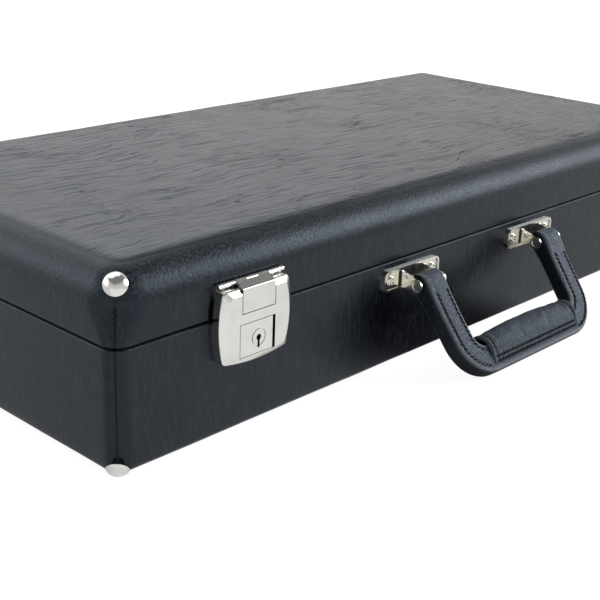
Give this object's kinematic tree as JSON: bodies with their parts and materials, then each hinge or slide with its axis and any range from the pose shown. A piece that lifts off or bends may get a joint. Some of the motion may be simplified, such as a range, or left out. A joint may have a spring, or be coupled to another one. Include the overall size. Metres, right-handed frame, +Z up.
{
  "type": "recorder case",
  "caption": "Hinged hard case for a large recorder: leatherette over boards, sliding key locks with hasps, leather swing handle, plush-lined cradles inside.",
  "frame": {"origin": "middle of the flat underside of the base", "axes": "+X along the front to the right, +Y from the front with the handle to the hinges, +Z up"},
  "size_m": [0.5206, 0.3021, 0.0968],
  "materials": {
    "leatherette": "semi-matt grained",
    "handle_leather": "satin",
    "nickel": "polished",
    "bracket_nickel": "polished",
    "steel": "satin",
    "plywood": "bare",
    "liner": "black painted",
    "plush": "short pile"
  },
  "bodies": {
    "base": {"base_front_board": "plywood", "base_back_board": "plywood", "base_left_board": "plywood", "base_right_board": "plywood", "base_bottom_panel": "plywood", "base_cover": "leatherette", "base_corner_studs": "nickel", "liner_boards": "liner", "wall_pads": "plush", "floor_pad": "plush", "front_long_divider": "plush", "back_long_divider": "plush", "swab_divider": "plush", "crook_divider": "plush", "rod_divider": "plush", "body_joint_cradles": "plush", "head_joint_cradles": "plush", "foot_joint_cradles": "plush", "lock_base_plates": "steel", "lock_rivets": "steel", "lock_cover_left": "nickel", "lock_cover_right": "nickel", "slider_spring_left": "steel", "slider_spring_right": "steel", "handle_bracket_left": "bracket_nickel", "handle_bracket_right": "bracket_nickel", "handle_pin_left": "bracket_nickel", "handle_pin_right": "bracket_nickel", "bracket_rivets": "bracket_nickel", "hinge_base_leaves": "nickel", "hinge_pins": "nickel", "hinge_base_rivets": "nickel"},
    "lid": {"lid_front_rail": "plywood", "lid_back_rail": "plywood", "lid_left_rail": "plywood", "lid_right_rail": "plywood", "lid_top_panel": "plywood", "lid_cover": "leatherette", "lid_corner_studs": "nickel", "lid_pad": "plush", "lid_wall_lining": "plush", "hasp_plate_left": "nickel", "hasp_plate_right": "nickel", "hasp_pin_left": "steel", "hasp_pin_right": "steel", "hasp_plate_rivets": "nickel", "hinge_lid_leaves": "nickel", "hinge_lid_rivets": "nickel"},
    "handle": {"handle_core": "steel", "handle_strap": "handle_leather", "handle_grip": "handle_leather"},
    "hasp_left": {"hasp_left": "nickel"},
    "key_slider_left": {"key_slider_left": "nickel"},
    "key_cam_left": {"key_cam_left": "steel"},
    "hasp_right": {"hasp_right": "nickel"},
    "key_slider_right": {"key_slider_right": "nickel"},
    "key_cam_right": {"key_cam_right": "steel"}
  },
  "joints": [
    {"name": "lid_open", "type": "hinge", "parent": "base", "child": "lid", "pos_m": [0, 0.1255, 0.06], "axis": [-1, 0, 0], "range_deg": [0, 100]},
    {"name": "handle_swing", "type": "hinge", "parent": "base", "child": "handle", "pos_m": [0, -0.1351, 0.0474], "axis": [-1, 0, 0], "range_deg": [-39, 137]},
    {"name": "hasp_left_flip", "type": "hinge", "parent": "lid", "child": "hasp_left", "pos_m": [-0.1805, -0.1244, 0.0762], "axis": [-1, 0, 0], "range_deg": [0, 110]},
    {"name": "key_slider_left_slide", "type": "slide", "parent": "base", "child": "key_slider_left", "axis": [1, 0, 0], "range_m": [0, 0.0015], "stiffness_N_per_m": 300, "springref_m": -0.001},
    {"name": "key_cam_left_turn", "type": "hinge", "parent": "key_slider_left", "child": "key_cam_left", "pos_m": [-0.1805, -0.1259, 0.0485], "axis": [0, -1, 0], "range_deg": [0, 90]},
    {"name": "hasp_right_flip", "type": "hinge", "parent": "lid", "child": "hasp_right", "pos_m": [0.1805, -0.1244, 0.0762], "axis": [-1, 0, 0], "range_deg": [0, 110]},
    {"name": "key_slider_right_slide", "type": "slide", "parent": "base", "child": "key_slider_right", "axis": [1, 0, 0], "range_m": [0, 0.0015], "stiffness_N_per_m": 300, "springref_m": -0.001},
    {"name": "key_cam_right_turn", "type": "hinge", "parent": "key_slider_right", "child": "key_cam_right", "pos_m": [0.1805, -0.1259, 0.0485], "axis": [0, -1, 0], "range_deg": [0, 90]}
  ]
}
